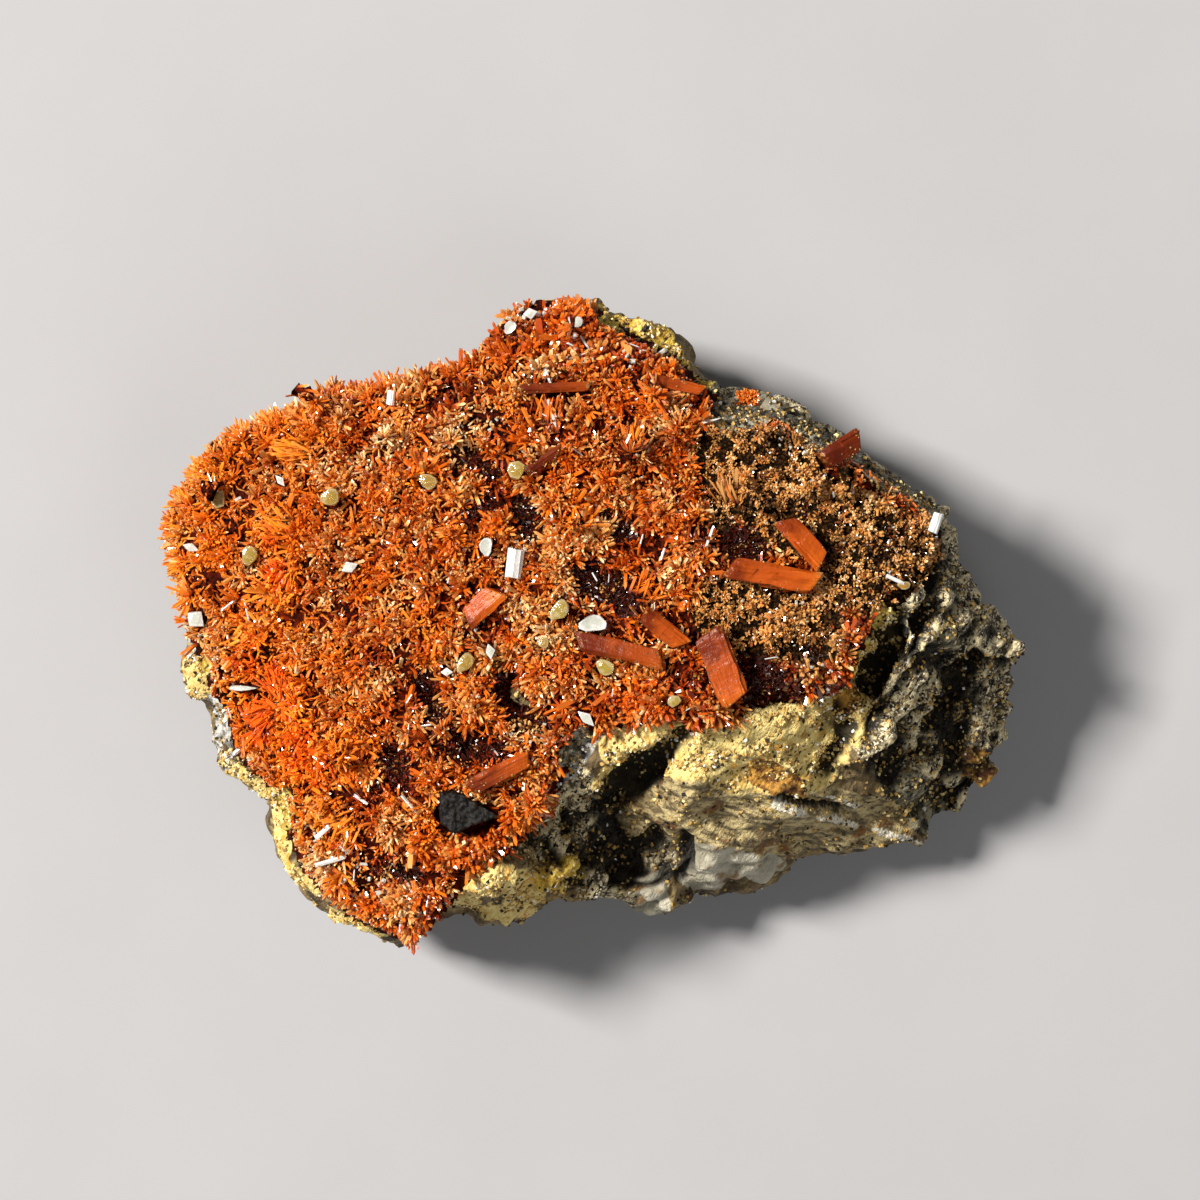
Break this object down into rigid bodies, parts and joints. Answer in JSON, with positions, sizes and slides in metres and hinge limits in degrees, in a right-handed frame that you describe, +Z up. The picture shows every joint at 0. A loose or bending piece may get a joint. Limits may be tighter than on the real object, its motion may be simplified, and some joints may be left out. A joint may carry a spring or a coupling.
{
  "type": "crocoite with cerussite mineral specimen",
  "caption": "Cabinet mineral specimen: orange crocoite druse and prisms with pale cerussite crystals on ochre-stained gossan rock, lying on a flat base.",
  "frame": {"origin": "on the resting face, under the middle of the specimen's bounding box", "axes": "+Z up out of the crystal-covered face; +X along the longest side, towards the bare dark rock; +Y towards the small lobe at the top edge"},
  "size_m": [0.0998, 0.0752, 0.0395],
  "materials": {
    "gossan": "rough limonite and iron-stained quartz, ochre yellow to near black",
    "crocoite_druse": "fine glossy crocoite needles, bright orange to red-brown",
    "crocoite_prism": "glossy, striated, slightly see-through orange-red crocoite",
    "cerussite": "adamantine, pale cream to colourless",
    "black_gossan": "dull black, gritty"
  },
  "bodies": {
    "root": {"matrix": "gossan", "crocoite_crust": "crocoite_druse", "crocoite_tuft": "crocoite_druse", "gossan_chip": "black_gossan", "crocoite_long_prism": "crocoite_prism", "crocoite_slanting_prism": "crocoite_prism", "crocoite_rim_prism": "crocoite_prism", "crocoite_broad_blade": "crocoite_prism", "crocoite_short_blade": "crocoite_prism", "crocoite_flat_prism": "crocoite_prism", "crocoite_lower_prism": "crocoite_prism", "crocoite_bright_blade": "crocoite_prism", "crocoite_thin_upper_prism": "crocoite_prism", "crocoite_upper_right_prism": "crocoite_prism", "crocoite_slender_prism": "crocoite_prism", "cerussite_01": "cerussite", "cerussite_02": "cerussite", "cerussite_03": "cerussite", "cerussite_04": "cerussite", "cerussite_05": "cerussite", "cerussite_06": "cerussite", "cerussite_07": "cerussite", "cerussite_08": "cerussite", "cerussite_09": "cerussite", "cerussite_10": "cerussite", "cerussite_11": "cerussite", "cerussite_12": "cerussite", "cerussite_13": "cerussite", "cerussite_14": "cerussite", "cerussite_15": "cerussite", "cerussite_16": "cerussite", "cerussite_17": "cerussite", "cerussite_18": "cerussite", "cerussite_19": "cerussite", "cerussite_20": "cerussite", "cerussite_21": "cerussite", "cerussite_22": "cerussite", "cerussite_23": "cerussite", "cerussite_24": "cerussite", "cerussite_25": "cerussite", "cerussite_26": "cerussite", "cerussite_27": "cerussite"}
  },
  "joints": []
}
